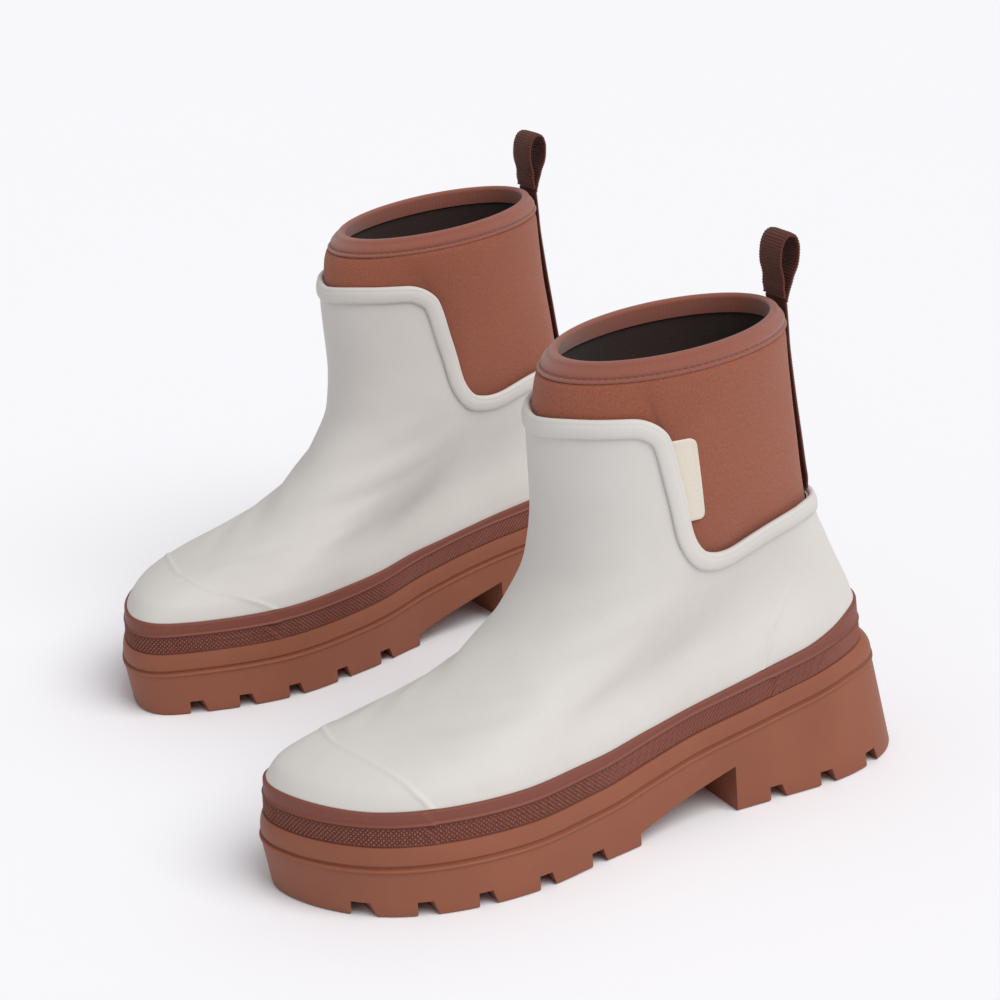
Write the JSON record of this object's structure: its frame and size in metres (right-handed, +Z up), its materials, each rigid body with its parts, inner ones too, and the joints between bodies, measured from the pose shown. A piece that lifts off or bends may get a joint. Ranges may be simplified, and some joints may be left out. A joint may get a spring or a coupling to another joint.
{
  "type": "deck boots",
  "caption": "Pair of ankle-high deck boots: off-white rubber shell, terracotta neoprene collar with a rear pull loop, and a chunky lug sole.",
  "frame": {"origin": "on the floor, under the middle of the pair's bounding box", "axes": "+X from the heels towards the toes, +Y from the right boot to the left boot, +Z up"},
  "size_m": [0.3076, 0.3434, 0.2385],
  "materials": {
    "outsole_rubber": "matt moulded rubber, light terracotta",
    "foxing_rubber": "matt rubber strip, darker terracotta, the lower band knurled",
    "bone_rubber": "matt vulcanised rubber, off-white",
    "neoprene": "fine knit face on foam neoprene, terracotta",
    "collar_tape": "folded knit tape with one row of stitching",
    "webbing": "ribbed grosgrain webbing, dark red-brown",
    "stitching": "bar of close stitches",
    "label": "blank woven tab, cream",
    "lining": "knit jersey, near black",
    "footbed_foam": "moulded foam",
    "filler_foam": "light foam",
    "fibreboard": "pressed fibreboard",
    "shank_steel": "plain steel strip"
  },
  "bodies": {
    "left_boot": {"left_back_webbing": "webbing", "left_collar_binding": "collar_tape", "left_footbed": "footbed_foam", "left_footbed_cover": "lining", "left_foxing_strip": "foxing_rubber", "left_heel_core": "filler_foam", "left_heel_counter": "bone_rubber", "left_heel_stiffener": "fibreboard", "left_insole_board": "fibreboard", "left_knurled_band": "foxing_rubber", "left_loop_bartack": "stitching", "left_midsole_filler": "filler_foam", "left_neoprene_bootie": "neoprene", "left_outsole": "outsole_rubber", "left_rubber_shell": "bone_rubber", "left_shaft_lining": "lining", "left_shank": "shank_steel", "left_shell_binding": "bone_rubber", "left_side_label": "label", "left_toe_cap": "bone_rubber", "left_toe_puff": "fibreboard"},
    "left_loop": {"left_pull_loop": "webbing"},
    "right_boot": {"right_back_webbing": "webbing", "right_collar_binding": "collar_tape", "right_footbed": "footbed_foam", "right_footbed_cover": "lining", "right_foxing_strip": "foxing_rubber", "right_heel_core": "filler_foam", "right_heel_counter": "bone_rubber", "right_heel_stiffener": "fibreboard", "right_insole_board": "fibreboard", "right_knurled_band": "foxing_rubber", "right_loop_bartack": "stitching", "right_midsole_filler": "filler_foam", "right_neoprene_bootie": "neoprene", "right_outsole": "outsole_rubber", "right_rubber_shell": "bone_rubber", "right_shaft_lining": "lining", "right_shank": "shank_steel", "right_shell_binding": "bone_rubber", "right_side_label": "label", "right_toe_cap": "bone_rubber", "right_toe_puff": "fibreboard"},
    "right_loop": {"right_pull_loop": "webbing"}
  },
  "joints": [
    {"name": "left_loop_tilt", "type": "hinge", "parent": "left_boot", "child": "left_loop", "pos_m": [-0.09523, 0.11965, 0.21241], "axis": [0, 1, 0], "range_deg": [-70, 60], "stiffness_Nm_per_rad": 0.02},
    {"name": "right_boot_lift", "type": "slide", "parent": "left_boot", "child": "right_boot", "axis": [0, 0, 1], "range_m": [0, 0.15]},
    {"name": "right_loop_tilt", "type": "hinge", "parent": "right_boot", "child": "right_loop", "pos_m": [-0.10893, -0.12944, 0.21241], "axis": [-0.06, 0.9982, 0], "range_deg": [-70, 60], "stiffness_Nm_per_rad": 0.02}
  ]
}
